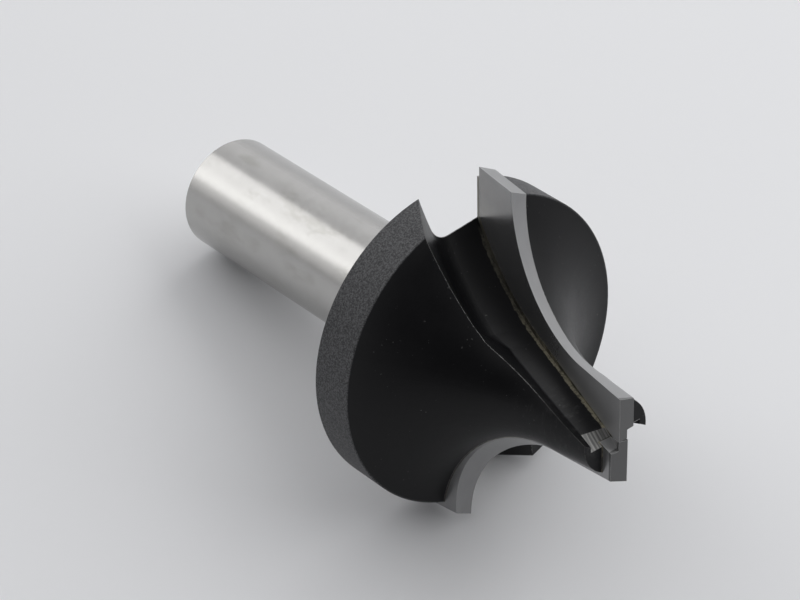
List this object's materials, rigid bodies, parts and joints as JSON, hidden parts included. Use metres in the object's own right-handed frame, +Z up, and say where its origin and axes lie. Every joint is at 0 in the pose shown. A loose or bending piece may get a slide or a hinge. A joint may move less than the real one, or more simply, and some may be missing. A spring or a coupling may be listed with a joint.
{
  "type": "router bit",
  "caption": "Round-over router bit: flat-ground wings with a concave quarter-round edge on a round shank, for rounding the edges of wood.",
  "frame": {"origin": "centre of the bounding box, on the bench that the bit lies on", "axes": "+Z up, +X toward the cutting nose; the bit lies on its shank end, one corner of the rim and one corner of a tip, with its axis in the XZ plane, rising 15.67 degrees toward the nose"},
  "size_m": [0.0632, 0.0324, 0.0332],
  "materials": {
    "cutter_body": "satin black coating over turned steel, bare and ground on the shank",
    "carbide_tip": "ground tungsten carbide",
    "braze": "dull brazing alloy"
  },
  "bodies": {
    "root": {"cutter_body": "cutter_body", "carbide_tip_1": "carbide_tip", "carbide_tip_2": "carbide_tip", "braze_seam_1": "braze", "braze_seam_2": "braze"}
  },
  "joints": []
}
